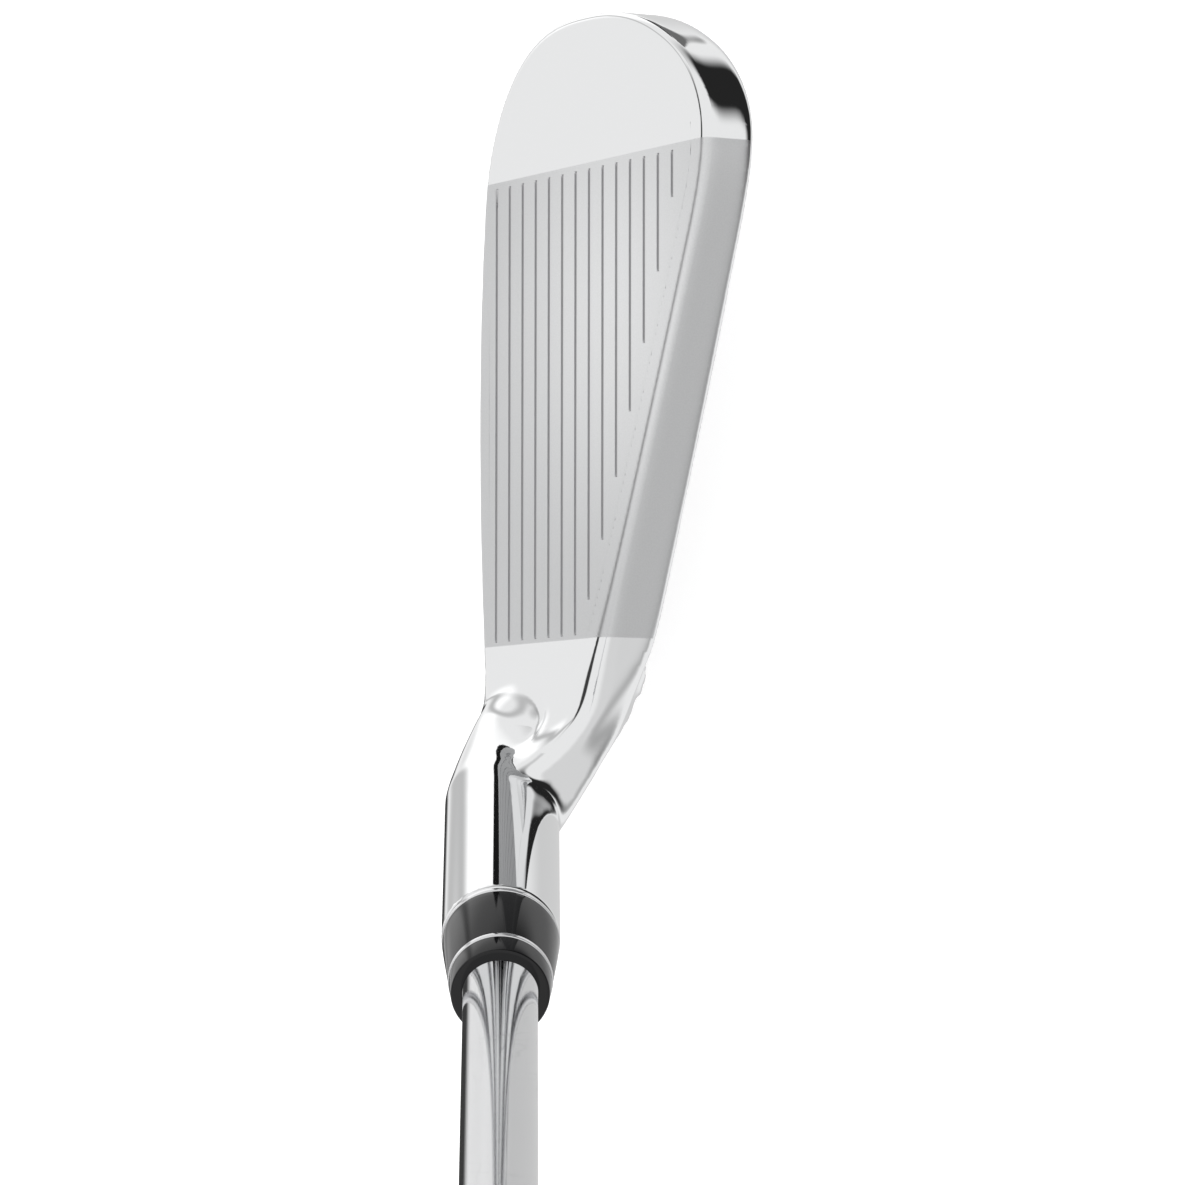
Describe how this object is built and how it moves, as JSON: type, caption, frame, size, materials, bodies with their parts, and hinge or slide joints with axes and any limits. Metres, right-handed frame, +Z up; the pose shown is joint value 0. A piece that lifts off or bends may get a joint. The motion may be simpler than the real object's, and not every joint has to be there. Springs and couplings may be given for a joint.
{
  "type": "iron golf club",
  "caption": "Mid iron golf club: cavity-back steel head with a scored face plate, black ferrule with two bright rings, stepped steel shaft and rubber grip.",
  "frame": {"origin": "centre of the flat rest on the sole, at ground level in the address position", "axes": "+X from heel to toe, +Y towards the target (the side the face looks to), +Z up; the shaft leans towards -X at the lie angle"},
  "size_m": [0.5365, 0.0445, 0.8396],
  "materials": {
    "head_chrome": "bright chrome plate over cast steel, satin blasted on the middle of the topline",
    "face_satin": "satin blasted scored area, polished toe area",
    "tungsten": "dull grey sintered metal",
    "urethane": "matt dark grey elastomer",
    "foam_tape": "matt black foam tape",
    "badge_alloy": "dark brushed alloy",
    "badge_bright": "bright brushed alloy",
    "ferrule_black": "high gloss black",
    "ring_silver": "bright silver",
    "shaft_chrome": "bright chrome plate",
    "plug_brass": "plain turned brass",
    "grip_tape": "matt paper tape",
    "grip_rubber": "matt black moulded rubber",
    "cap_rubber": "semi-matt black hard rubber"
  },
  "bodies": {
    "root": {"head_body": "head_chrome", "face_plate": "face_satin", "sole_weight": "tungsten", "damping_pad": "urethane", "badge_tape": "foam_tape", "badge": "badge_alloy", "badge_inlay": "badge_bright", "ferrule": "ferrule_black", "ferrule_ring_upper": "ring_silver", "ferrule_ring_lower": "ring_silver", "shaft": "shaft_chrome", "tip_plug": "plug_brass", "grip_tape": "grip_tape", "grip": "grip_rubber", "grip_cap": "cap_rubber"}
  },
  "joints": []
}
